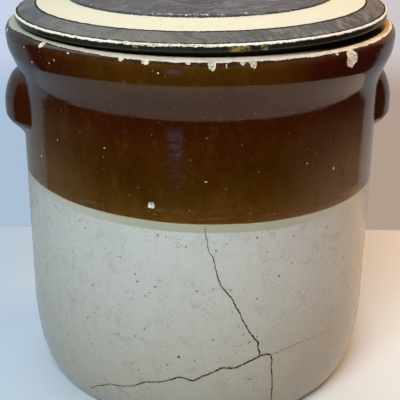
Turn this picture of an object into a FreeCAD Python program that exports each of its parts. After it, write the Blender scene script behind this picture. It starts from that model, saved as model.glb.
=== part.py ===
import FreeCAD, Part
import math
import os

# Stoneware bean pot with two luted ears and a loose lid. Millimetres, +Z up.
# Origin: centre of the flat base. The ears are at -X and +X, and the front faces -Y.

# Pot: a jiggered body with a flat base, a rounded heel, a straight wall and a heavy collar.
pot_height = 260.0            # base to the flat top of the rim
wall_radius = 126.0           # outside of the straight wall
wall_thickness = 10.0
floor_thickness = 12.0
floor_round = 24.0            # inner corner between floor and wall
heel_height = 58.0
heel_inset = 16.0             # the base is this much smaller in radius than the wall

# Collar: a straight flank leans out from the neck, swells into a belly and rolls over to the rim.
neck_round = 3.2              # hollow corner where the flank meets the neck
flank_height = 17.5           # from the neck corner up
flank_reach = 7.2             # how far the flank has leaned out at its top
belly_height = 11.5
belly_reach = 1.6             # how far the belly swells beyond the flank
rim_height = 6.0              # rolled edge, from the belly to the flat of the rim
rim_round = 5.5               # how far the rolled edge comes in
mouth_round = 2.0             # eased inner edge of the rim

# Ears: each is a lump turned about its own upright axis and pressed on under the collar.
ear_width = 90.0              # along the wall, end to end
ear_reach = 12.8              # how far an ear stands out from the wall
ear_shoulder = 23.0           # height of the rounded top
ear_band = 8.0                # height of the upright outer face
ear_slope = 45.0              # lean of the underside from upright, in degrees
ear_edge_round = 3.2          # eased edge between the outer face and the underside
ear_hollow = 5.8              # the underside starts to hollow out this far from the wall
ear_feather = 0.5             # thickness at the middle of that hollow
ear_tail = 13.5               # height over which the hollow runs out into the wall
ear_root = 3.0                # how far the lump is built into the wall before it is trimmed

# Lid: a pressed disc that laps over the rim, with a collar below that keeps it centred.
lid_lap = 12.0                # edge of the lid beyond the mouth
lid_edge = 6.0                # thickness at the edge
lid_stand = 2.8               # undercut that leaves a dark gap above the rim
lid_seat = 6.5                # width of the flat seat, outside the mouth
lid_edge_round = 0.9
bevel_width = 15.0            # sloping glazed border round the lid
bevel_rise = 4.5
wiped_ring_width = 20.6       # bare ring where the next pot stood in the kiln
wiped_ring_rise = 3.7
step_rise = 1.5               # the middle of the lid stands above the bare ring
step_width = 1.3
crown_rise = 3.6              # from that step to the pad under the knob
lid_middle = 10.0             # thickness in the middle
flange_depth = 11.0           # below the rim
flange_thickness = 7.0
flange_gap = 2.5              # between the flange and the wall of the mouth
flange_round = 2.0
hollow_round = 8.0            # inner corner between flange and underside

# Knob: a low turned button stuck on with slip.
knob_foot_radius = 17.0
knob_foot_edge = 1.5          # thickness of the foot at its edge
knob_waist_radius = 12.5
knob_waist_height = 8.0       # from the pad to the narrowest place
knob_radius = 21.0
knob_rim_height = 14.0        # from the pad to the lower edge of the head
knob_rim_round = 1.6
knob_height = 22.0
knob_pad_margin = 1.5         # flat pad of the lid beyond the knob's foot

same_length = 0.001           # two legs closer than this count as equal

mouth_radius = wall_radius - wall_thickness
belly_radius = wall_radius + flank_reach + belly_reach
belly_top = pot_height - rim_height
flank_top = belly_top - belly_height
collar_foot = flank_top - flank_height
lid_radius = mouth_radius + lid_lap
lid_top = pot_height + lid_stand + lid_edge


class Outline:
    """Half section of a turned form, drawn as (radius, height) steps."""

    def __init__(self, radius, height):
        self.start = FreeCAD.Vector(radius, 0, height)
        self.here = self.start
        self.edges = []

    def line(self, radius, height):
        end = FreeCAD.Vector(radius, 0, height)
        self.edges.append(Part.makeLine(self.here, end))
        self.here = end
        return self

    def arc(self, corner, end):
        """Circular arc whose tangents meet at the corner."""
        half_turn = (corner - self.here).getAngle(end - corner) / 2
        weight = math.cos(half_turn)
        middle = (self.here + corner * (2 * weight) + end) * (0.5 / (1 + weight))
        self.edges.append(Part.Arc(self.here, middle, end).toShape())
        self.here = end

    def curve(self, corner, end):
        """Rounds a corner. Equal legs give one arc, and unequal legs give two tangent arcs.

        The tighter arc is on the shorter leg, which makes nearly a quarter of an ellipse.
        """
        corner = FreeCAD.Vector(corner[0], 0, corner[1])
        end = FreeCAD.Vector(end[0], 0, end[1])
        leg_in = corner - self.here
        leg_out = end - corner
        if abs(leg_in.Length - leg_out.Length) < same_length:
            self.arc(corner, end)
            return self
        turn = leg_in.getAngle(leg_out)
        share = math.tan(turn / 4) / math.tan(turn / 2)
        span = end - self.here
        way_in = FreeCAD.Vector(leg_in).normalize()
        way_out = FreeCAD.Vector(leg_out).normalize()
        bend = 1 - way_in.dot(way_out)
        square = span.dot(span)
        if leg_in.Length < leg_out.Length:
            first = share * leg_in.Length
            second = (square - 2 * first * span.dot(way_in)) / (2 * (span.dot(way_out) + first * bend))
        else:
            second = share * leg_out.Length
            first = (square - 2 * second * span.dot(way_out)) / (2 * (span.dot(way_in) + second * bend))
        near = self.here + way_in * first
        far = end - way_out * second
        joint = (near * second + far * first) * (1 / (first + second))
        self.arc(near, joint)
        self.arc(far, end)
        return self

    def close(self):
        self.edges.append(Part.makeLine(self.here, self.start))
        return self

    def turned(self, axis_x=0.0):
        face = Part.Face(Part.Wire(self.edges))
        return face.revolve(FreeCAD.Vector(axis_x, 0, 0), FreeCAD.Vector(0, 0, 1), 360)


def outside_of_pot():
    """Outline of the pot from the centre of its base up to the flat of the rim."""
    outline = Outline(0, 0)
    outline.line(wall_radius - heel_inset, 0)
    outline.curve((wall_radius, 0), (wall_radius, heel_height))

    lean = flank_reach / flank_height
    flank_foot = wall_radius + lean * neck_round
    outline.line(wall_radius, collar_foot - neck_round)
    outline.curve((wall_radius, collar_foot), (flank_foot, collar_foot + neck_round))

    outline.line(wall_radius + flank_reach, flank_top)
    outline.curve((belly_radius, flank_top + belly_reach / lean), (belly_radius, belly_top))
    outline.curve((belly_radius, pot_height), (belly_radius - rim_round, pot_height))
    return outline


def pot_body():
    """Thrown body: the outside above, hollowed to an even wall with a rounded floor."""
    outline = outside_of_pot()
    outline.line(mouth_radius + mouth_round, pot_height)
    outline.curve((mouth_radius, pot_height), (mouth_radius, pot_height - mouth_round))
    outline.line(mouth_radius, floor_thickness + floor_round)
    outline.curve((mouth_radius, floor_thickness), (mouth_radius - floor_round, floor_thickness))
    outline.line(0, floor_thickness)
    return outline.close().turned()


def ear():
    """Ear on the +X side, trimmed to sit on the wall and under the collar."""
    tip = wall_radius + ear_reach
    end_x = math.sqrt(wall_radius ** 2 - (ear_width / 2) ** 2)
    axis_x = (tip ** 2 - wall_radius ** 2) / (2 * (tip - end_x))

    band_top = collar_foot - ear_shoulder
    band_foot = band_top - ear_band
    under = ear_edge_round * math.sin(math.radians(ear_slope))
    lean = math.tan(math.radians(ear_slope))
    hollow_top = band_foot - (ear_reach - ear_hollow) / lean
    hollow_middle = band_foot - (ear_reach - ear_feather) / lean
    tail_foot = hollow_middle - ear_tail

    lump = Outline(axis_x, collar_foot)
    lump.line(wall_radius, collar_foot)
    lump.curve((tip, collar_foot), (tip, band_top))
    lump.line(tip, band_foot + ear_edge_round)
    lump.curve((tip, band_foot), (tip - under, band_foot - under / lean))
    lump.line(wall_radius + ear_hollow, hollow_top)
    lump.curve((wall_radius + ear_feather, hollow_middle), (wall_radius - ear_root, tail_foot))
    lump.line(axis_x, tail_foot)
    lump = lump.close().turned(axis_x)

    core = outside_of_pot()
    core.line(0, pot_height)
    return lump.cut(core.close().turned())


def lid():
    """Pressed disc with its bevel, bare ring and crown above, and seat and flange below."""
    seat_edge = mouth_radius + lid_seat
    flange_radius = mouth_radius - flange_gap
    flange_inner = flange_radius - flange_thickness
    flange_foot = pot_height - flange_depth
    ring_outer = lid_radius - bevel_width
    ring_inner = ring_outer - wiped_ring_width
    ring_foot = lid_top + bevel_rise
    ring_top = ring_foot + wiped_ring_rise
    crown_edge = ring_inner - step_width
    crown_foot = ring_top + step_rise
    crown_top = crown_foot + crown_rise
    pad = knob_foot_radius + knob_pad_margin
    underside = crown_top - lid_middle
    hollow_rim = ring_foot - lid_middle

    disc = Outline(0, crown_top)
    disc.line(pad, crown_top)
    disc.curve(((pad + crown_edge) / 2, crown_top), (crown_edge, crown_foot))
    disc.curve((ring_inner, crown_foot), (ring_inner, ring_top))
    disc.line(ring_outer, ring_foot)
    disc.line(lid_radius - lid_edge_round, lid_top)
    disc.curve((lid_radius, lid_top), (lid_radius, lid_top - lid_edge_round))
    disc.line(lid_radius, lid_top - lid_edge + lid_edge_round)
    disc.curve((lid_radius, lid_top - lid_edge), (lid_radius - lid_edge_round, lid_top - lid_edge))
    disc.line(seat_edge + lid_stand, pot_height + lid_stand)
    disc.curve((seat_edge, pot_height + lid_stand), (seat_edge, pot_height))
    disc.line(flange_radius, pot_height)
    disc.line(flange_radius, flange_foot + flange_round)
    disc.curve((flange_radius, flange_foot), (flange_radius - flange_round, flange_foot))
    disc.line(flange_inner + flange_round, flange_foot)
    disc.curve((flange_inner, flange_foot), (flange_inner, flange_foot + flange_round))
    disc.line(flange_inner, hollow_rim - hollow_round)
    disc.curve((flange_inner, hollow_rim), (flange_inner - hollow_round, hollow_rim))
    disc.curve((flange_inner / 2, underside), (0, underside))
    return disc.close().turned()


def lid_knob():
    """Turned button on the pad in the middle of the lid."""
    base = lid_top + bevel_rise + wiped_ring_rise + step_rise + crown_rise
    knob = Outline(0, base)
    knob.line(knob_foot_radius, base)
    knob.line(knob_foot_radius, base + knob_foot_edge)
    knob.curve((knob_waist_radius, base + knob_foot_edge), (knob_waist_radius, base + knob_waist_height))
    knob.curve((knob_waist_radius, base + knob_rim_height),
               (knob_radius - knob_rim_round, base + knob_rim_height))
    knob.curve((knob_radius, base + knob_rim_height),
               (knob_radius, base + knob_rim_height + knob_rim_round))
    knob.curve((knob_radius, base + knob_height), (0, base + knob_height))
    return knob.close().turned()


right_ear = ear()
upright = FreeCAD.Vector(0, 0, 1)
left_ear = right_ear.copy()
left_ear.rotate(FreeCAD.Vector(0, 0, 0), upright, 180)

pieces = {
    "pot_body": pot_body(),
    "ear_handle_right": right_ear,
    "ear_handle_left": left_ear,
    "lid": lid(),
    "lid_knob": lid_knob(),
}

os.makedirs("parts", exist_ok=True)
for node, shape in pieces.items():
    shape.exportStep("parts/" + node + ".step")
    print(node, "valid" if shape.isValid() else "not valid", round(shape.Volume / 1000, 1), "cm3")
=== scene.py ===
import math
import random

import bmesh
import bpy
from mathutils import Matrix, Vector
from mathutils.geometry import delaunay_2d_cdt


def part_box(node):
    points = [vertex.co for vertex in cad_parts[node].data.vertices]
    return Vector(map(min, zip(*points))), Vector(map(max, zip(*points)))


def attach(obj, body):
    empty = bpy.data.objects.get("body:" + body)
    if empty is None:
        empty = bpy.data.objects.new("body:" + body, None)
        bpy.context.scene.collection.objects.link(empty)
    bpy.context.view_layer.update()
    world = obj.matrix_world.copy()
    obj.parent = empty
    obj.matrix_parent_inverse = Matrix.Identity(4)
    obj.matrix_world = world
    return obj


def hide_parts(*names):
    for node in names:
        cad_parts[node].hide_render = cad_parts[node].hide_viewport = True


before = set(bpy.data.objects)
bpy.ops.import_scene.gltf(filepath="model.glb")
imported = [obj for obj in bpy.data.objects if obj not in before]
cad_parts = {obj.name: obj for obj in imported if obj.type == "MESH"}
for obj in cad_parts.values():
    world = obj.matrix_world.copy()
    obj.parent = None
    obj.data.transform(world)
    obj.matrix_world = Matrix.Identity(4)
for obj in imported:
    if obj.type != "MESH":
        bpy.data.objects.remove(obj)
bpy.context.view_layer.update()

mm = 0.001
scene = bpy.context.scene
scene.view_settings.view_transform = "Standard"


# Camera: a little above the lid and a hand's width to the left of square on, so that more of the
# left ear shows. The picture is 400 pixels square, and its middle is the lens axis.
picture_side = 400
focal_pixels = 911.0
camera_reach = 640.0 * mm
camera_height = 384.0 * mm
camera_turn = math.radians(-5.58)
camera_place_turn = math.radians(-5.5)
camera_pitch = math.radians(22.38)
camera_roll = math.radians(0.58)

camera = bpy.data.objects.new("camera", bpy.data.cameras.new("camera"))
scene.collection.objects.link(camera)
scene.camera = camera
camera.data.sensor_width = 36.0
camera.data.lens = focal_pixels / picture_side * camera.data.sensor_width
camera_place = Matrix.Rotation(camera_place_turn, 4, "Z") @ Vector((0, -camera_reach, camera_height))
camera_aim = (Matrix.Rotation(camera_turn, 4, "Z") @ Matrix.Rotation(math.radians(90) - camera_pitch, 4, "X")
              @ Matrix.Rotation(camera_roll, 4, "Z"))
camera.matrix_world = Matrix.Translation(camera_place) @ camera_aim


def sight_line(x, y):
    """Direction from the camera through a pixel of the picture."""
    half = picture_side / 2
    return (camera_aim.to_3x3() @ Vector((x - half, half - y, -focal_pixels))).normalized()


# Pot body: one thrown and turned piece of stoneware with a rolled collar, open at the top. It was
# dipped in a milky glaze up to the middle and in brown slip glaze from the rim down over that edge.
# The flat of the rim was wiped bare. It is cracked low on the front, pinholed and chipped.
pot_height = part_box("pot_body")[1].z
belly_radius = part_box("pot_body")[1].y
wall_radius = 126.0 * mm
wall_thickness = 10.0 * mm
floor_thickness = 12.0 * mm
floor_round = 24.0 * mm
heel_height = 58.0 * mm
heel_inset = 16.0 * mm
rim_rise = 6.0 * mm
belly_rise = 11.5 * mm
belly_swell = 1.6 * mm
flank_rise = 17.5 * mm
neck_round = 6.0 * mm
rim_round = 5.5 * mm
mouth_round = 2.0 * mm

mouth_radius = wall_radius - wall_thickness
belly_top = pot_height - rim_rise
flank_top = belly_top - belly_rise
flank_radius = belly_radius - belly_swell
collar_foot = flank_top - flank_rise
flank_lean = (flank_radius - wall_radius) / (flank_top - collar_foot)


class Section:
    """Half outline of a turned piece, walked with the clay on the left hand."""

    def __init__(self, radius, height):
        self.points = [Vector((radius, height))]
        self.marks = {}

    def line(self, radius, height, step=8.0 * mm):
        """Straight run to a place."""
        start, end = self.points[-1], Vector((radius, height))
        count = max(1, round((end - start).length / step))
        self.points += [start.lerp(end, i / count) for i in range(1, count + 1)]
        return self

    def round(self, corner, end, steps=8):
        """Quarter of an ellipse to the end, bulging toward the corner."""
        start, corner, end = self.points[-1], Vector(corner), Vector(end)
        for i in range(1, steps + 1):
            turn = math.pi / 2 * i / steps
            way = (corner - start) * math.sin(turn) + (end - corner) * (1 - math.cos(turn))
            self.points.append(start + way)
        return self

    def mark(self, name):
        """Names the place reached so far."""
        self.marks[name] = len(self.points) - 1
        return self

    def finish(self):
        """Measures the outline and works out which way each point of it faces."""
        self.reach = [0.0]
        for a, b in zip(self.points, self.points[1:]):
            self.reach.append(self.reach[-1] + (b - a).length)
        sides = [(b - a).normalized() for a, b in zip(self.points, self.points[1:])]
        sides = [Vector((s.y, -s.x)) for s in sides]
        self.facing = [(a + b).normalized() for a, b in zip([sides[0]] + sides, sides + [sides[-1]])]
        self.marks = {name: self.reach[i] for name, i in self.marks.items()}
        return self

    def at(self, reach):
        """Point and outward direction at a distance along the outline."""
        low = 0
        high = len(self.reach) - 1
        while high - low > 1:
            middle = (low + high) // 2
            if self.reach[middle] <= reach:
                low = middle
            else:
                high = middle
        share = (reach - self.reach[low]) / (self.reach[high] - self.reach[low])
        share = min(max(share, 0.0), 1.0)
        return (self.points[low].lerp(self.points[high], share),
                self.facing[low].lerp(self.facing[high], share).normalized())

    def reach_of(self, height):
        """Distance along the outline to a height on its outer side."""
        for i, (a, b) in enumerate(zip(self.points, self.points[1:])):
            if a.y <= height <= b.y and b.y > a.y:
                return self.reach[i] + (height - a.y) / (b.y - a.y) * (self.reach[i + 1] - self.reach[i])
        return self.reach[-1]


pot_section = Section(0, 0).line(wall_radius - heel_inset, 0, step=20 * mm).mark("foot")
pot_section.round((wall_radius, 0), (wall_radius, heel_height), steps=14)
pot_section.line(wall_radius, collar_foot - neck_round, step=5 * mm)
pot_section.round((wall_radius, collar_foot),
                  (wall_radius + flank_lean * neck_round, collar_foot + neck_round), steps=6)
pot_section.line(flank_radius, flank_top, step=3 * mm)
pot_section.round((belly_radius, flank_top + (belly_radius - flank_radius) / flank_lean),
                  (belly_radius, belly_top), steps=8).mark("belly top")
pot_section.round((belly_radius, pot_height), (belly_radius - rim_round, pot_height), steps=10)
pot_section.mark("rim outside")
pot_section.line(mouth_radius + mouth_round, pot_height, step=4 * mm).mark("rim inside")
pot_section.round((mouth_radius, pot_height), (mouth_radius, pot_height - mouth_round), steps=4)
pot_section.line(mouth_radius, floor_thickness + floor_round, step=20 * mm)
pot_section.round((mouth_radius, floor_thickness), (mouth_radius - floor_round, floor_thickness), steps=8)
pot_section.line(0, floor_thickness, step=23 * mm).finish()


def gap_to_line(place, a, b):
    """Distance from a place to the line between two others."""
    side = b - a
    share = min(max((place - a).dot(side) / side.length_squared, 0.0), 1.0)
    return (place - a - side * share).length


class Flaw:
    """A closed outline on the unrolled surface, walked with its inside on the left and sunk below the skin.

    Places are (distance round, distance along the outline). Round starts at the front, +X way positive.
    The floor's points only give the mesh its grain. The stain fades over the halo round the outline.
    """

    def __init__(self, kind, outline, floor, depth, slope, halo=0.0, stain=0.0):
        self.kind = kind
        self.outline = outline
        self.floor = floor
        self.depth = depth
        self.slope = slope
        self.stain = stain
        self.low = Vector((min(p.x for p in outline), min(p.y for p in outline)))
        self.high = Vector((max(p.x for p in outline), max(p.y for p in outline)))
        self.halo = []
        if halo:
            for before, place, after in zip(outline[-1:] + outline[:-1], outline, outline[1:] + outline[:1]):
                way = (after - before).normalized()
                self.halo.append(place + Vector((way.y, -way.x)) * halo)

    def sides(self):
        return zip(self.outline, self.outline[1:] + self.outline[:1])

    def holds(self, place):
        """Whether a place lies within the outline."""
        if not (self.low.x < place.x < self.high.x and self.low.y < place.y < self.high.y):
            return False
        crossings = 0
        for a, b in self.sides():
            if (a.y > place.y) != (b.y > place.y):
                crossings += place.x < a.x + (b.x - a.x) * (place.y - a.y) / (b.y - a.y)
        return crossings % 2 == 1

    def sunk(self, place):
        """Depth below the skin at a place within the outline."""
        return min(self.depth, self.slope * min(gap_to_line(place, a, b) for a, b in self.sides()))


def ragged_chip(place, width, height, depth, luck, points=13):
    """A flake broken off: uneven outline, sunk middle."""
    outline, floor = [], [Vector(place)]
    for i in range(points):
        turn = 2 * math.pi * (i + luck.uniform(-0.3, 0.3)) / points
        size = luck.uniform(0.74, 1.08)
        side = Vector((math.cos(turn) * width / 2, math.sin(turn) * height / 2))
        outline.append(Vector(place) + side * size)
        floor.append(Vector(place) + side * size * 0.7)
        if i % 2:
            floor.append(Vector(place) + side * size * luck.uniform(0.3, 0.5))
    return Flaw("chip", outline, floor, depth, slope=0.9)


def pinhole(place, radius, luck):
    """A burst bubble in the glaze, with a ring of stain round it."""
    outline = []
    points = 7
    for i in range(points):
        turn = 2 * math.pi * i / points
        size = radius * luck.uniform(0.75, 1.25)
        outline.append(Vector(place) + Vector((math.cos(turn), math.sin(turn))) * size)
    return Flaw("pit", outline, [Vector(place)], depth=1.2 * mm, slope=1.3, halo=radius * 1.3, stain=0.5)


def crack(route, widths, stain, luck, step=1.1 * mm, wander=0.30 * mm):
    """A hairline break along a route, with raggedly uneven width."""
    walked = []
    for (a, b), (wa, wb) in zip(zip(route, route[1:]), zip(widths, widths[1:])):
        count = max(1, round((b - a).length / step))
        for i in range(count):
            share = i / count
            side = (b - a).orthogonal().normalized() * luck.uniform(-wander, wander)
            width = (wa + (wb - wa) * share) * luck.uniform(0.6, 1.4)
            walked.append((a.lerp(b, share) + (side if i else side * 0), width))
    walked.append((route[-1], widths[-1] * 0.3))
    left, right = [], []
    for i, (place, width) in enumerate(walked):
        before = walked[max(i - 1, 0)][0]
        after = walked[min(i + 1, len(walked) - 1)][0]
        side = (after - before).orthogonal().normalized() * width / 2
        left.append(place + side)
        right.append(place - side)
    floor = [place for place, width in walked]
    return Flaw("crack", right + left[::-1], floor, depth=0.9 * mm, slope=2.2, halo=1.8 * mm, stain=stain)


def turned_piece(name, section, girth, flaws, columns=200):
    """Mesh of a turned piece. Its unrolled skin is triangulated round the flaws, then rolled up."""
    near_seam = girth * 3.14
    tiny = 0.001 * mm
    turns = [girth * math.pi * (2 * i / columns - 1) for i in range(columns + 1)]
    places = [Vector((turn, reach)) for reach in section.reach for turn in turns]
    covered = set()
    for flaw in flaws:
        covered.update(i for i, place in enumerate(places) if flaw.low.y < place.y < flaw.high.y
                       and abs(place.x) < near_seam and flaw.holds(place))
    places = [place for i, place in enumerate(places) if i not in covered]
    outlines = []
    for flaw in flaws:
        outlines.append(list(range(len(places), len(places) + len(flaw.outline))))
        places += flaw.outline + flaw.floor + flaw.halo
    corners, _, faces, _, _, from_faces = delaunay_2d_cdt(places, [], outlines, 0, tiny, True)

    mesh = bpy.data.meshes.new(name)
    build = bmesh.new()
    along = build.verts.layers.float.new("along")
    stain = build.verts.layers.float.new("stain")
    facing_layer = build.verts.layers.float_vector.new("facing")
    flaws_at = [set() for corner in corners]
    for face, sources in zip(faces, from_faces):
        for i in face:
            flaws_at[i].update(sources)
    made_corners = []
    for corner, sources in zip(corners, flaws_at):
        point, facing = section.at(corner.y)
        depth = sum(flaws[s].sunk(corner) for s in sources)
        radius = point.x - facing.x * depth
        height = point.y - facing.y * depth
        sine = math.sin(corner.x / girth)
        cosine = math.cos(corner.x / girth)
        vert = build.verts.new((radius * sine, -radius * cosine, height))
        vert[along] = corner.y
        vert[stain] = max((flaws[s].stain for s in sources), default=0.0)
        vert[facing_layer] = Vector((facing.x * sine, -facing.x * cosine, facing.y))
        made_corners.append(vert)
    kinds = ["skin", "chip", "pit", "crack"]
    for face, sources in zip(faces, from_faces):
        made = build.faces.new([made_corners[i] for i in face])
        made.smooth = True
        made.material_index = max((kinds.index(flaws[s].kind) for s in sources), default=0)
    bmesh.ops.remove_doubles(build, verts=build.verts, dist=2 * tiny)
    loose = [v for v in build.verts if not v.link_faces]
    bmesh.ops.delete(build, geom=loose, context="VERTS")
    build.normal_update()
    normals = []
    for face in build.faces:
        for loop in face.loops:
            normals.append(Vector(loop.vert[facing_layer]) if face.material_index == 0 else face.normal)
    build.to_mesh(mesh)
    build.free()
    mesh.normals_split_custom_set([tuple(n.normalized()) for n in normals])
    piece = bpy.data.objects.new(name, mesh)
    scene.collection.objects.link(piece)
    return piece


def on_pot(x, y):
    """Place on the unrolled pot that a pixel of the picture shows, closing in on the pot's radius there."""
    way = sight_line(x, y)
    radius = wall_radius
    rounds = 12
    for _ in range(rounds):
        a = way.x ** 2 + way.y ** 2
        b = way.x * camera_place.x + way.y * camera_place.y
        c = camera_place.x ** 2 + camera_place.y ** 2 - radius ** 2
        travel = (-b - math.sqrt(max(b * b - a * c, 0.0))) / a
        point = camera_place + way * travel
        radius = pot_section.at(pot_section.reach_of(point.z))[0].x
    return Vector((math.atan2(point.x, -point.y) * wall_radius, pot_section.reach_of(point.z)))


luck = random.Random(7)

# Cracks, as they run in the picture, in pixels, each with its first, middle and last width in mm, and how
# much it has stained the glaze.
crack_down = [(205, 226), (206, 236), (209, 252), (213, 257), (217, 275), (220, 284), (228, 294), (233, 300),
              (236, 308), (240, 313), (243, 321), (249, 331), (254, 338), (258, 342), (258, 347), (260, 356)]
crack_left = [(260, 356), (254, 359), (246, 363), (235, 368), (222, 368), (209, 374), (201, 377), (193, 381),
              (187, 379), (178, 377), (173, 379), (161, 382), (145, 382), (133, 386), (121, 386), (110, 384),
              (97, 386), (90, 388)]
crack_foot = [(260, 356), (267, 354), (271, 355), (272, 360), (271, 367), (272, 376), (272, 384), (271, 400)]
crack_faint = [(271, 355), (287, 348), (298, 343), (308, 340), (319, 335), (328, 330)]
crack_spur = [(117, 386), (123, 391), (131, 397)]
cracks = [(crack_down, 0.34, 0.84, 0.96, 0.2), (crack_left, 1.00, 0.90, 0.42, 0.85),
          (crack_foot, 0.86, 0.82, 0.70, 0.6), (crack_faint, 0.30, 0.22, 0.12, 0.4),
          (crack_spur, 0.30, 0.24, 0.12, 0.4)]
pot_flaws = []
for route, first_width, middle_width, last_width, stain in cracks:
    places = [on_pot(x, y) for x, y in route]
    ramp = [i / (len(route) - 1) for i in range(len(route))]
    widths = [(first_width + (middle_width - first_width) * 2 * s if s < 0.5 else
               middle_width + (last_width - middle_width) * (2 * s - 1)) * mm for s in ramp]
    pot_flaws.append(crack(places, widths, stain, luck))

# Pinholes that the picture shows, as pixel and radius in mm, then strays round the sides and back.
pinhole_scale = 1.15
stray_pinholes = 190
pinholes = [(179, 357, 0.75), (120, 257, 0.45), (135, 274, 0.5), (166, 237, 0.4), (186, 247, 0.4),
            (155, 287, 0.5), (150, 293, 0.35), (145, 296, 0.4), (135, 336, 0.45), (138, 370, 0.4),
            (56, 206, 0.45), (85, 228, 0.4), (68, 335, 0.45), (62, 307, 0.4), (168, 326, 0.35),
            (279, 276, 0.6), (257, 299, 0.5), (291, 288, 0.35), (299, 293, 0.35), (304, 312, 0.4),
            (232, 312, 0.35), (243, 335, 0.4), (239, 327, 0.35), (213, 340, 0.45), (215, 304, 0.3),
            (213, 289, 0.3), (227, 244, 0.35), (294, 236, 0.4), (267, 252, 0.3), (292, 263, 0.4),
            (257, 337, 0.35), (228, 379, 0.35), (244, 290, 0.3), (95, 198, 0.45), (108, 103, 0.5),
            (130, 110, 0.4), (70, 96, 0.45), (238, 101, 0.4), (277, 110, 0.35)]
for x, y, radius in pinholes:
    pot_flaws.append(pinhole(on_pot(x, y), radius * pinhole_scale * mm, luck))
for _ in range(stray_pinholes):
    turn = luck.choice((-1, 1)) * luck.uniform(0.55, 0.99) * math.pi
    place = (turn * wall_radius, pot_section.reach_of(luck.uniform(20, 235) * mm))
    pot_flaws.append(pinhole(place, luck.uniform(0.25, 0.55) * mm, luck))

# Flakes off the brown glaze, as pixel, width and height in mm, each with the holes that show in it, then
# strays on the rim round the sides and back.
stray_flakes = 24
flakes = [((41.6, 44.4), 4.8, 6.2, []), ((68, 53), 1.6, 1.3, []), ((121, 58.9), 3.6, 3.8, []),
          ((145.5, 61.2), 4.8, 4.8, []), ((188, 63.2), 3.0, 2.4, []),
          ((211.9, 65.2), 4.8, 7.2, [(212.5, 66.5)]), ((226.5, 66.0), 0.9, 3.0, []),
          ((243, 62.8), 3.4, 3.2, []), ((253.6, 63.2), 4.8, 6.8, [(254, 65)]),
          ((289, 58.6), 2.2, 2.0, []), ((310, 55.6), 1.6, 1.4, []), ((318, 54.6), 1.6, 1.6, []),
          ((337, 54), 2.6, 2.0, []), ((352.5, 58), 9.6, 12.0, [(355.0, 55.5), (350.5, 61.5)]),
          ((151.2, 205.2), 4.6, 5.0, [(150.8, 204.2)]), ((24, 47), 1.2, 1.0, []), ((32, 62), 1.2, 1.2, []),
          ((54, 60), 1.0, 1.4, []), ((49, 63), 1.0, 1.2, []), ((158, 73), 1.3, 1.3, []),
          ((57.5, 140), 1.2, 1.0, []), ((41.5, 156), 1.0, 2.2, []), ((104.5, 148), 1.6, 0.9, []),
          ((206, 182), 2.4, 0.8, []), ((307, 163.5), 1.4, 0.8, []), ((333.5, 168), 0.9, 1.8, [])]
for (x, y), width, height, holes in flakes:
    pot_flaws.append(ragged_chip(on_pot(x, y), width * mm, height * mm, 0.5 * mm, luck))
    pot_flaws += [pinhole(on_pot(*hole), 0.5 * mm, luck) for hole in holes]
for _ in range(stray_flakes):
    turn = luck.choice((-1, 1)) * luck.uniform(0.42, 0.98) * math.pi
    place = (turn * wall_radius, pot_section.marks["belly top"] + luck.uniform(-1.5, 3.5) * mm)
    size = luck.uniform(1.4, 4.2) * mm
    pot_flaws.append(ragged_chip(place, size * luck.uniform(0.8, 1.5), size, 0.45 * mm, luck))

pot = turned_piece("pot_shell", pot_section, wall_radius, pot_flaws)


class Tone:
    """An output socket of a finish, used as a number or a colour in sums."""

    def __init__(self, finish, socket):
        self.finish = finish
        self.socket = socket

    def __add__(self, other):
        return self.finish.sum("ADD", self, other)

    def __sub__(self, other):
        return self.finish.sum("SUBTRACT", self, other)

    def __rsub__(self, other):
        return self.finish.sum("SUBTRACT", other, self)

    def __mul__(self, other):
        return self.finish.sum("MULTIPLY", self, other)

    __radd__ = __add__
    __rmul__ = __mul__


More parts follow.
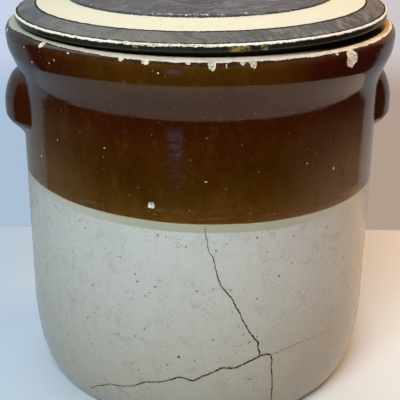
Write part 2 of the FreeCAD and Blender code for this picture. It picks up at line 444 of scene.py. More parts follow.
class Finish:
    """A procedural finish: the nodes of one material, or of the world."""

    def __init__(self, owner):
        self.owner = owner
        owner.use_nodes = True
        self.tree = owner.node_tree
        self.tree.nodes.clear()
        self.place = self.add("ShaderNodeTexCoord", output="Object")

    def add(self, kind, settings=None, inputs=None, output=0):
        """Adds a node: its settings first, then its sockets' values or links."""
        node = self.tree.nodes.new(kind)
        for name, value in (settings or {}).items():
            if name == "stops":
                ramp = node.color_ramp.elements
                while len(ramp) < len(value):
                    ramp.new(0.5)
                for element, (position, colour) in zip(ramp, value):
                    element.position = position
                    element.color = (*colour, 1.0)
            else:
                setattr(node, name, value)
        for name, value in (inputs or {}).items():
            socket = node.inputs[name]
            if isinstance(value, Tone):
                self.tree.links.new(value.socket, socket)
            elif isinstance(value, tuple) and socket.type == "RGBA":
                socket.default_value = (*value, 1.0)
            else:
                socket.default_value = value
        return Tone(self, node.outputs[output])

    def sum(self, operation, *values):
        return self.add("ShaderNodeMath", {"operation": operation}, dict(enumerate(values)))

    def noise(self, size, detail=3.0, roughness=0.5, twist=0.0, stretch=(1, 1, 1), lean=0.0):
        """Soft clouds about as large as size, stretched along axes that lean round the upright one."""
        vector = self.place
        if stretch != (1, 1, 1):
            vector = self.add("ShaderNodeMapping", {"vector_type": "TEXTURE"},
                              {"Vector": self.place, "Rotation": (0, 0, math.radians(lean)),
                               "Scale": stretch})
        return self.add("ShaderNodeTexNoise", None, {"Vector": vector, "Scale": 1 / size, "Detail": detail,
                                                     "Roughness": roughness, "Distortion": twist})

    def ramp(self, value, stops):
        """Colour from a list of (value, colour) stops."""
        low, high = stops[0][0], stops[-1][0]
        share = self.add("ShaderNodeMapRange", {"clamp": True}, {"Value": value, "From Min": low,
                                                                 "From Max": high})
        stops = [((at - low) / (high - low), colour) for at, colour in stops]
        return self.add("ShaderNodeValToRGB", {"stops": stops}, {"Fac": share})

    def specks(self, size, share, softness=0.15):
        """Mask of small round spots: one per cell of that size, filling that share of its width."""
        distance = self.add("ShaderNodeTexVoronoi", None, {"Vector": self.place, "Scale": 1 / size})
        return self.step(distance, share * (1 + softness), share * (1 - softness))

    def step(self, value, low, high):
        """Smooth step from 0 at low to 1 at high, which may be the lower of the two."""
        settings = {"interpolation_type": "SMOOTHSTEP", "clamp": True}
        return self.add("ShaderNodeMapRange", settings,
                        {"Value": value, "From Min": low, "From Max": high, "To Min": 0.0, "To Max": 1.0})

    def between(self, value, rise, fall):
        """Mask that goes from 0 to 1 over the span rise, and back to 0 over the span fall."""
        return self.step(value, *rise) * self.step(value, *reversed(fall))

    def mix(self, share, a, b):
        """Colour a, turning to b as share goes to 1."""
        return self.add("ShaderNodeMix", {"data_type": "RGBA"}, {"Factor": share, "A": a, "B": b}, "Result")

    def axis(self, name):
        """Place along X, Y or Z."""
        return self.add("ShaderNodeSeparateXYZ", None, {0: self.place}, name)

    def attribute(self, name):
        return self.add("ShaderNodeAttribute", {"attribute_name": name}, None, "Fac")

    def bump(self, relief, depth):
        inputs = {"Height": relief, "Strength": 1.0, "Distance": depth}
        return self.add("ShaderNodeBump", None, inputs, "Normal")

    def skin(self, colour, roughness, normal=None, refraction=1.5, tint=(1.0, 1.0, 1.0)):
        """A Principled shader, glassy as a glaze unless its refraction index is lower."""
        inputs = {"Base Color": colour, "Roughness": roughness, "IOR": refraction, "Specular Tint": tint}
        if normal:
            inputs["Normal"] = normal
        return self.add("ShaderNodeBsdfPrincipled", None, inputs, "BSDF")

    def blend(self, share, a, b):
        """Shader a, turning to b as share goes to 1."""
        node = self.tree.nodes.new("ShaderNodeMixShader")
        for socket, tone in zip(node.inputs, (share, a, b)):
            self.tree.links.new(tone.socket, socket)
        return Tone(self, node.outputs[0])

    def close(self, shader, kind="ShaderNodeOutputMaterial"):
        """Ends the finish in a shader."""
        node = self.tree.nodes.new(kind)
        self.tree.links.new(shader.socket, node.inputs["Surface"])
        return self.owner


# Linear colours of the brown slip, by height: olive and thin at its lower edge, dark under the collar,
# partly as painted shade of the collar.
brown_stops = [(0.155, (0.092, 0.034, 0.0020)), (0.166, (0.072, 0.029, 0.0020)),
               (0.177, (0.052, 0.019, 0.0010)), (0.190, (0.043, 0.0125, 0.0006)),
               (0.204, (0.040, 0.0105, 0.0006)), (0.216, (0.034, 0.0050, 0.0006)),
               (0.232, (0.038, 0.0075, 0.0006)), (0.243, (0.053, 0.0190, 0.0010))]
# Toward the sides the slip is greyer and lighter low down, a painted sheen, and deeper maroon under the
# collar.
brown_side_stops_and_sheen = [(0.155, (0.130, 0.066, 0.0180)), (0.178, (0.112, 0.061, 0.0260)),
                    (0.191, (0.074, 0.036, 0.0160)), (0.206, (0.058, 0.022, 0.0080)),
                    (0.218, (0.040, 0.0080, 0.0020)), (0.236, (0.032, 0.0040, 0.0006))]
sandy_brown = (0.170, 0.110, 0.0620)
slip_tint = (1.0, 0.86, 0.70)
deep_brown = (0.018, 0.0035, 0.0006)
rusty_brown = (0.110, 0.0500, 0.0080)
black_speck = (0.004, 0.002, 0.001)
milky_glaze = (0.525, 0.535, 0.52)
milky_shadow = (0.45, 0.45, 0.41)
milky_grime_and_shade = (0.315, 0.29, 0.228)
milky_pore = (0.23, 0.20, 0.16)
milky_smudge = (0.26, 0.24, 0.20)
glint_speck = (0.62, 0.62, 0.60)
dirt_speck = (0.060, 0.055, 0.048)
tan_stain = (0.30, 0.235, 0.15)
overlap_glaze = (0.33, 0.33, 0.235)
overlap_side = (0.44, 0.44, 0.37)
overlap_edge = (0.50, 0.37, 0.18)
bare_clay = (0.60, 0.53, 0.45)
sandy_clay = (0.50, 0.345, 0.20)
pale_clay_and_highlight = (0.80, 0.66, 0.47)
smoky_clay = (0.36, 0.37, 0.32)
stained_clay = (0.44, 0.33, 0.22)
# Near black: soot and dark marks, and also painted shade and shadow on the rim and the lid.
soot_and_shade = (0.012, 0.009, 0.007)

# Refraction index of bare clay, low so that it stays dusty.
clay_refraction = 1.1


def brown_slip(finish):
    """Colour, roughness and relief of the brown slip glaze."""
    height = finish.axis("Z")
    x = finish.axis("X")
    across = finish.sum("ABSOLUTE", x)
    clouds = finish.noise(0.045, 4.0, 0.6, 0.4)
    streaks = finish.noise(0.010, 4.0, 0.65, 0.2, (1, 1, 3))
    fine = finish.noise(0.0022, 3.0, 0.6)
    turning = finish.noise(0.0045, 3.0, 0.6, 0.0, (16, 16, 1))
    level = height + (clouds - 0.5) * 0.036
    upper = finish.step(height, 0.195, 0.225)
    right = finish.step(x, -0.020, 0.080)
    outward = across + upper * (0.010 + right * 0.050) + (clouds - 0.5) * 0.03
    # Toward the sides the colour turns to the side stops, which paint in a sheen low down.
    colour = finish.mix(finish.step(outward, 0.065, 0.125), finish.ramp(level, brown_stops),
                        finish.ramp(level, brown_side_stops_and_sheen))
    sandy = finish.step(x, 0.030, 0.116) * finish.step(height, 0.222, 0.168)
    colour = finish.mix(sandy * 0.85, colour, sandy_brown)
    mottle = streaks * 0.55 + fine * 0.45
    neck = finish.step(height, 0.196, 0.212)
    rusty = finish.step(mottle, 0.50, 0.66) * (1 - neck * right * 0.9)
    colour = finish.mix(rusty * 0.26, colour, rusty_brown)
    colour = finish.mix(finish.step(mottle, 0.50, 0.36) * 0.35, colour, deep_brown)
    pale = finish.specks(0.0070, 0.055, 0.5)
    colour = finish.mix(pale * 0.42, colour, stained_clay)
    dark = finish.specks(0.0085, 0.06, 0.5)
    colour = finish.mix(dark * 0.75, colour, black_speck)
    roughness = 0.07 + fine * 0.07 + dark * 0.2
    relief = clouds + streaks * 0.25 + turning * 0.22 + fine * 0.05 - dark * 0.25 - pale * 0.15
    return colour, roughness, relief


def pot_finish():
    finish = Finish(bpy.data.materials.new("brown_over_milky_glaze"))
    colour, roughness, relief = brown_slip(finish)
    along = finish.attribute("along")
    height = finish.axis("Z")
    x = finish.axis("X")
    wobble = finish.noise(0.03, 2.0, 0.5) - 0.5
    dip_line = 155.8 * mm - x * 0.022 + wobble * 0.9 * mm
    above = height - dip_line

    # Milky glaze below, with painted shade low down and toward the right, grimy runs, dark specks that
    # crowd in places, pale specks that are painted glints, and tan where the cracks and pinholes have
    # stained it.
    clouds = finish.noise(0.05, 3.0, 0.55, 0.3)
    pores = finish.noise(0.0016, 3.0, 0.7)
    grain = finish.noise(0.006, 4.0, 0.65)
    runs = finish.noise(0.007, 3.0, 0.6, 0.0, (1, 1, 7))
    crowd = finish.noise(0.016, 3.0, 0.6)
    milky = finish.mix(clouds * 0.6, milky_glaze, milky_shadow)
    # Painted shade: the milky glaze darkens toward the bottom and toward the right.
    painted_low_right_shade = finish.step(height + clouds * 0.03, 0.170, 0.030) * 0.80 + finish.step(x, -0.030, 0.120) * 0.38
    milky = finish.mix(painted_low_right_shade, milky, milky_grime_and_shade)
    milky = finish.mix(finish.step(runs, 0.45, 0.70) * 0.14, milky, milky_grime_and_shade)
    milky = finish.mix(finish.step(grain, 0.5, 0.75) * 0.25, milky, milky_grime_and_shade)
    milky = finish.mix(finish.step(pores, 0.60, 0.74) * 0.35, milky, milky_pore)
    smudge = finish.step(finish.noise(0.013, 4.0, 0.7, 0.8), 0.54, 0.68)
    milky = finish.mix(smudge * 0.34, milky, milky_smudge)
    # Pale specks: painted glints.
    milky = finish.mix(finish.specks(0.0040, 0.10, 0.6) * 0.35, milky, glint_speck)
    fine_dirt = finish.specks(0.0019, 0.20, 0.6) * finish.step(crowd, 0.48, 0.62)
    milky = finish.mix(fine_dirt * 0.6, milky, dirt_speck)
    milky = finish.mix(finish.specks(0.0062, 0.055, 0.6) * 0.75, milky, dirt_speck)
    milky = finish.mix(finish.specks(0.0110, 0.10, 0.8) * 0.35, milky, tan_stain)
    milky = finish.mix(finish.specks(0.0110, 0.050, 0.4) * 0.95, milky, soot_and_shade)
    milky = finish.mix(finish.attribute("stain") * 0.5, milky, tan_stain)

    # Thin brown over the milky glaze: a grey-green band, and a tan line where the brown ends.
    band = finish.step(above + grain * 1.2 * mm, -5.7 * mm, -4.9 * mm)
    sides = finish.step(finish.sum("ABSOLUTE", x), 0.040, 0.100)
    band = band * (0.85 - finish.step(x, 0.030, 0.110) * 0.45)
    milky = finish.mix(band, milky, finish.mix(sides, overlap_glaze, overlap_side))
    tan = finish.step(above, -1.5 * mm, -0.2 * mm)
    milky = finish.mix(tan * 0.75, milky, overlap_edge)
    brown = finish.step(above, -0.25 * mm, 0.25 * mm)
    colour = finish.mix(brown, milky, colour)
    milky_rough = 0.20 + pores * 0.12
    roughness = milky_rough + (roughness - milky_rough) * brown
    relief = relief * (0.3 + brown * 0.7) + finish.step(above, -0.6 * mm, 0.4 * mm) * 0.35

    # The wiped rim and the foot are bare clay. On the left the glaze reaches further up. It breaks dark
    # just outside the rim's border, in wider patches on the left. Right of the middle, the rim under the
    # lid's edge is painted black, a painted shadow of the lid.
    nibbled = (finish.noise(0.0024, 4.0, 0.68) - 0.5) * 2.3 * mm
    ragged = nibbled + (finish.noise(0.008, 3.0, 0.6) - 0.5) * 2.4 * mm
    border = pot_section.marks["belly top"] * 0.32 + pot_section.marks["rim outside"] * 0.68
    ragged = ragged - finish.between(x, (-0.131, -0.118), (-0.110, -0.040)) * 2.6 * mm
    inner = pot_section.marks["rim inside"] + 1.5 * mm
    broken = finish.step(along + ragged, border - 1.4 * mm, border - 0.6 * mm) * 0.9
    thin = finish.step(along + nibbled * 3, border - 2.9 * mm, border - 2.1 * mm)
    thin = thin * finish.step(grain, 0.40, 0.52) * finish.step(x, 0.060, 0.010) * 0.75
    colour = finish.mix(finish.sum("MAXIMUM", broken, thin), colour, soot_and_shade)
    rim = finish.between(along + ragged, (border - 0.12 * mm, border + 0.12 * mm),
                         (inner - 0.3 * mm, inner + 0.3 * mm))
    foot = finish.step(along + ragged * 0.4, pot_section.marks["foot"] + 1.2 * mm, pot_section.marks["foot"])
    bare = rim + foot
    right = finish.step(x, 0.050, 0.130)
    clay = finish.mix(right, bare_clay, sandy_clay)
    clay = finish.mix(finish.step(x, -0.070, -0.125), clay, smoky_clay)
    # Pale clay in grainy patches, and in a band along the rim's outer rounding on the right, which is a
    # painted highlight.
    pale = finish.step(grain, 0.52, 0.60) * 0.6
    pale = finish.sum("MAXIMUM", pale, finish.step(along + nibbled, border + 1.9 * mm, border + 1.1 * mm))
    clay = finish.mix(pale * right, clay, pale_clay_and_highlight)
    clay = finish.mix(finish.step(grain, 0.52, 0.36) * 0.6, clay, stained_clay)
    under_lid = pot_section.marks["rim outside"]
    # Painted shadow of the lid: the rim under the lid's edge, right of the middle, is painted black.
    painted_lid_shadow = finish.step(along + nibbled, under_lid + 0.9 * mm, under_lid + 2.1 * mm)
    painted_lid_shadow = painted_lid_shadow * finish.step(x, 0.020, 0.070) * finish.step(x, 0.126, 0.113)
    clay = finish.mix(painted_lid_shadow, clay, soot_and_shade)
    colour = finish.mix(bare, colour, clay)
    relief = relief * (1 - bare * 0.5) + pores * bare * 0.12 - bare * 0.3
    normal = finish.bump(relief, 0.35 * mm)
    glazed = finish.skin(colour, roughness, normal, tint=slip_tint)
    matt = finish.skin(colour, 0.7 + pores * 0.2, normal, refraction=clay_refraction)
    return finish.close(finish.blend(bare, glazed, matt))


def clay_finish(name, colour, shade, roughness):
    """Broken or bare clay."""
    finish = Finish(bpy.data.materials.new(name))
    grain = finish.noise(0.0014, 4.0, 0.7)
    tone = finish.mix(finish.step(grain, 0.38, 0.62), colour, shade)
    normal = finish.bump(grain, 0.25 * mm)
    return finish.close(finish.skin(tone, roughness + grain * 0.1, normal, refraction=clay_refraction))


chip_clay = clay_finish("chipped_clay", (0.72, 0.68, 0.58), shade=(0.42, 0.34, 0.24), roughness=0.55)
pit_dirt = clay_finish("pinhole_dirt", soot_and_shade, shade=(0.05, 0.038, 0.026), roughness=0.6)
crack_dirt = clay_finish("crack_dirt", (0.006, 0.005, 0.004), shade=(0.026, 0.021, 0.016), roughness=0.7)
for material in (pot_finish(), chip_clay, pit_dirt, crack_dirt):
    pot.data.materials.append(material)
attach(pot, "pot")
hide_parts("pot_body")


# Ears: lumps of clay pressed on under the collar, joined with slip and glazed with the pot, so the
# brown glaze runs over them without a break.
ear_maroon = (0.030, 0.0042, 0.0006)


def ear_finish():
    finish = Finish(bpy.data.materials.new("ear_brown_glaze"))
    colour, roughness, relief = brown_slip(finish)
    colour = finish.mix(0.6 + finish.noise(0.012, 3.0, 0.6) * 0.6, colour, ear_maroon)
    normal = finish.bump(relief, 0.35 * mm)
    return finish.close(finish.skin(colour, roughness, normal, refraction=1.42, tint=slip_tint))


ear_glaze = ear_finish()
for node in ("ear_handle_left", "ear_handle_right"):
    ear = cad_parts[node]
    ear.data.materials.clear()
    ear.data.materials.append(ear_glaze)


# Lid: a pressed disc in a blackish brown glaze, wiped bare in a ring where the next pot stood in
# the kiln. Its edge is worn to a pale line, and a flange below drops into the mouth.
lid_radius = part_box("lid")[1].x
lid_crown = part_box("lid")[1].z
lid_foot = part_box("lid")[0].z
lid_rise = 8.8 * mm
lid_edge = 6.0 * mm
lid_stand = 2.8 * mm
lid_middle = 10.0 * mm
bevel_width = 15.0 * mm
bevel_rise = 4.5 * mm
ring_width = 20.6 * mm
ring_rise = 3.7 * mm
step_rise = 1.5 * mm
step_width = 1.3 * mm
edge_round = 1.5 * mm
lower_edge_round = 2.6 * mm
seat_width = 6.5 * mm
flange_gap = 2.5 * mm
flange_width = 7.0 * mm
flange_round = 2.0 * mm
hollow_round = 8.0 * mm
pad_radius = 18.5 * mm

lid_top = pot_height + lid_rise
bevel_inner = lid_radius - bevel_width
ring_inner = bevel_inner - ring_width
seat_edge = mouth_radius + seat_width
flange_radius = mouth_radius - flange_gap
flange_inner = flange_radius - flange_width
ring_foot = lid_top + bevel_rise
ring_top = ring_foot + ring_rise
crown_edge = ring_inner - step_width
crown_foot = ring_top + step_rise
hollow_rim = ring_foot - lid_middle
lid_section = Section(0, lid_crown - lid_middle)
lid_section.round((flange_inner / 2, lid_crown - lid_middle),
                  (flange_inner - hollow_round, hollow_rim), steps=6)
lid_section.round((flange_inner, hollow_rim), (flange_inner, hollow_rim - hollow_round), steps=5)
lid_section.line(flange_inner, lid_foot + flange_round, step=6 * mm)
lid_section.round((flange_inner, lid_foot), (flange_inner + flange_round, lid_foot), steps=4)
lid_section.line(flange_radius - flange_round, lid_foot)
lid_section.round((flange_radius, lid_foot), (flange_radius, lid_foot + flange_round), steps=4)
lid_section.line(flange_radius, pot_height)
lid_section.line(seat_edge, pot_height)
lid_section.mark("seat")
lid_section.round((seat_edge, pot_height + lid_stand),
                  (seat_edge + lid_stand, pot_height + lid_stand), steps=4)
lid_section.line(lid_radius - lower_edge_round, lid_top - lid_edge)
lid_section.round((lid_radius, lid_top - lid_edge),
                  (lid_radius, lid_top - lid_edge + lower_edge_round), steps=6)
lid_section.mark("edge foot")
lid_section.line(lid_radius, lid_top - edge_round, step=2 * mm).mark("edge")
lid_section.round((lid_radius, lid_top), (lid_radius - edge_round, lid_top), steps=5).mark("corner")
lid_section.line(bevel_inner, ring_foot, step=3 * mm).mark("ring outside")
lid_section.line(ring_inner, ring_top, step=3 * mm).mark("ring inside")
lid_section.round((ring_inner, crown_foot), (crown_edge, crown_foot), steps=6).mark("crown")
lid_section.round(((pad_radius + crown_edge) / 2, lid_crown), (pad_radius, lid_crown), steps=14)
lid_section.line(0, lid_crown, step=9 * mm).finish()

# Small chips along the outer edge and round the crown, each row as where, how many, the turns between
# which half of them crowd, how far along the outline, the largest and the depth in mm, and the corners.
chip_rows = [("edge", 80, (-0.62, 0.0), (0.1, 2.2), 2.0, 0.4, 9),
             ("crown", 44, (-0.50, 0.02), (-0.6, 1.4), 1.5, 0.3, 8)]
lid_flaws = []
for mark, count, crowded, spread, largest, depth, points in chip_rows:
    for _ in range(count):
        turn = luck.choice([luck.uniform(*crowded), luck.uniform(-0.98, 0.98) * math.pi])
        place = (turn * lid_radius, lid_section.marks[mark] + luck.uniform(*spread) * mm)
        size = luck.uniform(0.7, largest) * mm
        width = size * luck.uniform(1.2, 2.4)
        lid_flaws.append(ragged_chip(place, width, size, depth * mm, luck, points))
lid = turned_piece("lid_disc", lid_section, lid_radius, lid_flaws)

# The disc warped in the kiln: its border rises to the right, from nothing at the seat and the middle.
warp = 0.0135
marks = lid_section.marks
along = lid.data.attributes["along"].data
for vert, reach in zip(lid.data.vertices, along):
    under = (reach.value - marks["seat"]) / (marks["edge foot"] - marks["seat"])
    over = (lid_section.reach[-1] - reach.value) / (lid_section.reach[-1] - marks["crown"])
    vert.co.z += warp * vert.co.x * min(max(min(under, over), 0.0), 1.0)

black_glaze = (0.022, 0.019, 0.017)
smoke_glaze = (0.060, 0.055, 0.052)
crown_glaze = (0.050, 0.047, 0.056)
pale_scratch_and_reflection = (0.260, 0.260, 0.275)
scuffed_glaze = (0.135, 0.132, 0.118)
brushed_glaze = (0.140, 0.122, 0.124)
edge_glaze = (0.018, 0.017, 0.013)
ochre_burn = (0.30, 0.210, 0.040)
worn_clay = (0.76, 0.74, 0.69)
ring_clay = (0.60, 0.58, 0.47)
ring_clay_warm = (0.58, 0.50, 0.36)
ring_grit = (0.40, 0.31, 0.20)
ring_speck = (0.14, 0.11, 0.08)
# Ochre burns on the edge, each as the turn of its middle and half its length, in radians.
ochre_spots = [(0.085, 0.055), (-0.39, 0.020), (0.197, 0.020)]


def lid_finish():
    finish = Finish(bpy.data.materials.new("black_lid_glaze"))
    along = finish.attribute("along")
    x = finish.axis("X")
    y = finish.axis("Y")
    clouds = finish.noise(0.03, 4.0, 0.6, 0.6)
    brushed = finish.noise(0.0050, 4.0, 0.7, 0.8, (4, 1, 1), -56)
    fine = finish.noise(0.0012, 3.0, 0.65)
    edge_foot = lid_section.marks["edge foot"]
    edge = lid_section.marks["edge"]
    corner = lid_section.marks["corner"]
    outer = lid_section.marks["ring outside"]
    inner = lid_section.marks["ring inside"]

    # Black glaze, scuffed grey on the left of the slope and brushed in slanting streaks on its right.
    colour = finish.mix(clouds * 0.7, black_glaze, smoke_glaze)
    slope = finish.between(along, (corner - 0.3 * mm, corner + 0.3 * mm), (outer - 0.6 * mm, outer))
    scuffed = finish.step(x, 0.080, -0.080) * finish.step(fine * 0.5 + clouds * 0.5, 0.38, 0.58)
    colour = finish.mix(slope * scuffed * 0.75, colour, scuffed_glaze)
    streak = finish.step(brushed, 0.50, 0.60) * finish.step(x, -0.060, 0.060) * slope
    colour = finish.mix(streak * 0.8, colour, brushed_glaze)
    furrow = finish.step(brushed, 0.47, 0.38) * finish.step(x, -0.120, 0.040) * slope
    colour = finish.mix(furrow * 0.7, colour, soot_and_shade)
    crown = finish.step(along, inner, inner + 1 * mm)
    # Pale scratches on the crown, which also paint in its streaky reflection.
    scratched = finish.noise(0.0024, 4.0, 0.75, 1.5, (4, 1, 1), 8)
    scratched = finish.step(scratched + clouds * 0.25, 0.63, 0.74) * crown
    colour = finish.mix(crown * 0.8, colour, crown_glaze)
    colour = finish.mix(scratched * 0.6, colour, pale_scratch_and_reflection)
    # The edge face is painted black toward the right: painted shade on that side.
    right = finish.step(x, 0.005, 0.070)
    face = finish.mix(right * 0.85, edge_glaze, soot_and_shade)
    blotch = finish.noise(0.005, 4.0, 0.7, 0.5, (1, 1, 2))
    face = finish.mix(finish.step(blotch, 0.48, 0.60) * 0.75, face, soot_and_shade)
    colour = finish.mix(finish.step(along, edge + 0.5 * mm, edge), colour, face)

    # Ochre burns on the edge.
    turn = finish.sum("ARCTAN2", x, y * -1)
    burn = 0
    for middle, half in ochre_spots:
        away = finish.sum("ABSOLUTE", turn - middle)
        burn = burn + finish.step(away, half, half * 0.7)
    burn = burn * finish.step(along, edge_foot - 2.6 * mm, edge_foot - 1.2 * mm)
    burn = burn * finish.step(along, edge + 0.2 * mm, edge - 0.4 * mm)
    burn = burn * finish.step(finish.noise(0.003, 4.0, 0.75), 0.42, 0.58)
    colour = finish.mix(burn * 0.9, colour, ochre_burn)

    # The outer corner is worn to the clay, less at the back, between dark lines.
    ragged = (finish.noise(0.006, 4.0, 0.72) - 0.5) * 1.6 * mm
    nibble = (finish.noise(0.0018, 3.0, 0.65) - 0.5) * 1.7 * mm
    edge_line = along + ragged * 0.9 + nibble
    front = finish.step(y, 0.045, -0.045)
    worn = finish.step(edge_line + front * 0.5 * mm, edge + 0.7 * mm, edge + 0.9 * mm)
    worn = worn * finish.step(edge_line - front * 0.5 * mm, edge + 1.6 * mm, edge + 1.4 * mm)
    worn = worn * (1 - finish.specks(0.0034, 0.16, 0.3))
    worn = worn * finish.step(finish.noise(0.010, 3.0, 0.6) + front * 0.3, 0.46, 0.54)
    dark = finish.between(edge_line, (edge + 1.6 * mm, edge + 2.0 * mm),
                          (corner + 0.6 * mm, corner + 1.1 * mm))
    groove = finish.between(edge_line, (outer - 1.6 * mm, outer - 1.0 * mm),
                            (outer - 0.1 * mm, outer + 0.1 * mm))
    # Below the lower rounding the lid is painted black: the painted shadow of the gap over the rim.
    under = finish.step(along, edge_foot - 0.9 * mm, edge_foot - 1.9 * mm)
    dark = finish.sum("MAXIMUM", dark, finish.sum("MAXIMUM", groove, under))
    colour = finish.mix(dark * 0.9, colour, soot_and_shade)

    # The wiped ring, with ragged borders.
    ring_line = along + ragged * 0.7 + nibble * 0.6
    ring = finish.step(ring_line, outer - 0.1 * mm, outer + 0.1 * mm)
    ring = ring * finish.step(along + nibble, inner + 0.1 * mm, inner - 0.1 * mm)
    clay = finish.mix(clouds * 0.5, ring_clay, ring_clay_warm)
    clay = finish.mix(finish.step(fine, 0.58, 0.78) * 0.35, clay, ring_grit)
    clay = finish.mix(finish.specks(0.0052, 0.09, 0.6) * 0.6, clay, ring_speck)
    colour = finish.mix(ring, colour, clay)
    colour = finish.mix(worn, colour, finish.mix(clouds * 0.6, worn_clay, ring_clay_warm))
    dull = finish.sum("MAXIMUM", finish.sum("MAXIMUM", ring, worn), dark)
    roughness = 0.20 + clouds * 0.12 + streak * 0.12 + crown * 0.22 + scratched * 0.2
    relief = clouds * 0.6 + brushed * 0.35 + fine * 0.05 - ring * 0.25 - worn * 0.25
    normal = finish.bump(relief, 0.5 * mm)
    glazed = finish.skin(colour, roughness, normal)
    matt = finish.skin(colour, 0.65 + fine * 0.2, normal, refraction=clay_refraction)
    return finish.close(finish.blend(dull, glazed, matt))


for material in (lid_finish(), chip_clay, pit_dirt, crack_dirt):
    lid.data.materials.append(material)
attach(lid, "lid")
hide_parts("lid")


# Knob: a low button turned from the same clay and stuck on the crown with slip, under the same
# black glaze, worn paler round its rim.
knob_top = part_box("lid_knob")[1].z
knob_rim_drop = 6.8 * mm


def knob_finish():
    finish = Finish(bpy.data.materials.new("knob_black_glaze"))
    clouds = finish.noise(0.02, 4.0, 0.6, 0.6)
    fine = finish.noise(0.0015, 3.0, 0.65)
    height = finish.axis("Z")
    rim = knob_top - knob_rim_drop
    wear = finish.between(height, (rim - 0.9 * mm, rim), (rim + 0.3 * mm, rim + 1.1 * mm))
    wear = wear * finish.step(clouds * 0.6 + fine * 0.4, 0.46, 0.56)
    colour = finish.mix(clouds * 0.7, black_glaze, smoke_glaze)
    colour = finish.mix(wear * 0.8, colour, ochre_burn)
    relief = clouds * 0.5 + fine * 0.06
    return finish.close(finish.skin(colour, 0.16 + clouds * 0.12, finish.bump(relief, 0.4 * mm)))


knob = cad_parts["lid_knob"]
knob.data.materials.clear()
knob.data.materials.append(knob_finish())


# Table and light: the end of a pale half-round table, a pale backdrop behind it that is cool on the
# left and warm on the right, a dim room with one bright upright strip in front, and soft lamps above.
table_reach = 0.47
table_back = 0.22
table_thickness = 0.02
table_round = 0.005
table_steps = 96
# The table's tones are painted light: cool on the left and darker toward its back, warm toward the back on
# the right.
table_left = (0.49, 0.575, 0.67)
table_right = (0.61, 0.64, 0.69)
table_far_left = (0.355, 0.465, 0.61)
table_far_right = (0.64, 0.59, 0.55)
table_cloud = (0.50, 0.50, 0.49)


def stand():
    """A slab, round in front and cut straight behind, with rounded edges."""
    mesh = bpy.data.meshes.new("table_top")
    build = bmesh.new()
    corner = math.asin(table_back / table_reach)
    rim = []
    for i in range(table_steps + 1):
        turn = math.pi - corner + (math.pi + 2 * corner) * i / table_steps
        rim.append(build.verts.new((table_reach * math.cos(turn), table_reach * math.sin(turn), 0)))
    build.faces.new(rim)
    made = bmesh.ops.extrude_face_region(build, geom=build.faces[:])
    low = [v for v in made["geom"] if isinstance(v, bmesh.types.BMVert)]
    bmesh.ops.translate(build, verts=low, vec=(0, 0, -table_thickness))
    bmesh.ops.recalc_face_normals(build, faces=build.faces)
    sharp = [e for e in build.edges if abs(e.verts[0].co.z - e.verts[1].co.z) < table_round]
    bmesh.ops.bevel(build, geom=sharp, offset=table_round, segments=4, profile=0.5, affect="EDGES")
    bmesh.ops.rotate(build, verts=build.verts, matrix=Matrix.Rotation(camera_place_turn, 3, "Z"))
    build.to_mesh(mesh)
    build.free()
    top = bpy.data.objects.new("table_top", mesh)
    scene.collection.objects.link(top)
    finish = Finish(bpy.data.materials.new("pale_table"))
    clouds = finish.noise(0.15, 3.0, 0.5)
    right = finish.step(finish.axis("X"), -0.25, 0.25)
    back = finish.step(finish.axis("Y"), -0.16, 0.18)
    tone = finish.mix(right, table_left, table_right)
    tone = finish.mix(back, tone, finish.mix(right, table_far_left, table_far_right))
    tone = finish.mix(clouds * 0.15, tone, table_cloud)
    top.data.materials.append(finish.close(finish.skin(tone, 0.5 + clouds * 0.1)))
    return top


stand()

# The camera sees the backdrop, and glazes mirror the room. The lamps light the pot, with a faint fill.
backdrop_left = (0.40, 0.575, 0.77)
backdrop_right = (0.44, 0.335, 0.27)
upper_left = (0.58, 0.68, 0.86)
upper_right = (0.62, 0.57, 0.59)
mirrored_left = (0.25, 0.33, 0.41)
mirrored_low_right = (0.37, 0.37, 0.38)
mirrored_high_right = (0.50, 0.36, 0.24)
mirrored_ceiling = (1.25, 1.22, 1.15)
room_foot = (0.020, 0.020, 0.022)
room_top = (0.16, 0.16, 0.16)
strip_light = (0.55, 0.75, 1.30)
fill_light = (0.03, 0.03, 0.03)

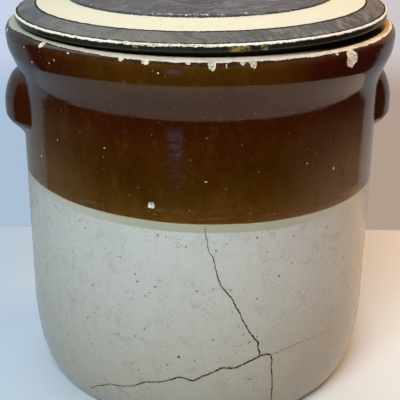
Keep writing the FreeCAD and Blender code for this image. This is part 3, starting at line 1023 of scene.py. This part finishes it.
scene.world = bpy.data.worlds.new("studio")
sky = Finish(scene.world)
x = sky.axis("X")
y = sky.axis("Y")
z = sky.axis("Z")
side = sky.step(x, -0.26, 0.26)
backdrop = sky.mix(side, backdrop_left, backdrop_right)
upper = sky.mix(side, upper_left, upper_right)
backdrop = sky.mix(sky.step(z, -0.27, -0.21), backdrop, upper)
warm = sky.mix(sky.step(z, -0.18, 0.12), mirrored_low_right, mirrored_high_right)
mirrored = sky.mix(sky.step(x, -0.35, 0.35), mirrored_left, warm)
turn = sky.sum("ARCTAN2", x, y)
behind = sky.between(turn, (-1.04, -0.96), (0.96, 1.04))
ceiling = sky.between(z, (0.45, 0.62), (0.80, 0.95))
mirrored = sky.mix(ceiling, mirrored, mirrored_ceiling)
room = sky.mix(sky.step(z, 0.1, 0.8), room_foot, room_top)
strip = sky.between(turn, (-2.88, -2.83), (-2.74, -2.70))
strip = strip * sky.step(z, -0.352, -0.295) * sky.step(z, 0.20, 0.10)
room = sky.mix(strip, room, strip_light)
studio = sky.mix(behind, room, mirrored)
lighting = sky.add("ShaderNodeLightPath", None, None, "Is Diffuse Ray")
studio = sky.mix(lighting, studio, fill_light)
seen = sky.add("ShaderNodeLightPath", None, None, "Is Camera Ray")
studio = sky.mix(seen, studio, backdrop)
sky.close(sky.add("ShaderNodeBackground", None, {"Color": studio}), "ShaderNodeOutputWorld")


def lamp(name, place, target, size, power, colour):
    """A soft lamp that glazes don't mirror."""
    light = bpy.data.lights.new(name, "AREA")
    light.shape = "RECTANGLE"
    light.size, light.size_y = size
    light.energy = power
    light.color = colour
    holder = bpy.data.objects.new(name, light)
    holder.location = place
    holder.rotation_euler = (Vector(target) - Vector(place)).to_track_quat("-Z", "Y").to_euler()
    holder.visible_camera = False
    holder.visible_glossy = False
    scene.collection.objects.link(holder)


pot_middle = (0, 0, 0.12)
collar_middle = (0, 0, 0.2)
lamp("window_lamp", (-0.42, -0.98, 1.2), pot_middle, size=(0.7, 0.7), power=27, colour=(0.92, 1.0, 1.0))
lamp("side_lamp", (1.1, -0.35, 0.7), pot_middle, size=(0.6, 0.6), power=5, colour=(1.0, 0.50, 0.38))
lamp("corner_lamp", (0.9, 0.5, 0.8), pot_middle, size=(0.6, 0.6), power=10, colour=(1.0, 0.66, 0.25))
lamp("back_lamp", (-0.1, 0.9, 1.15), collar_middle, size=(1.3, 0.8), power=8, colour=(0.84, 0.90, 1.0))
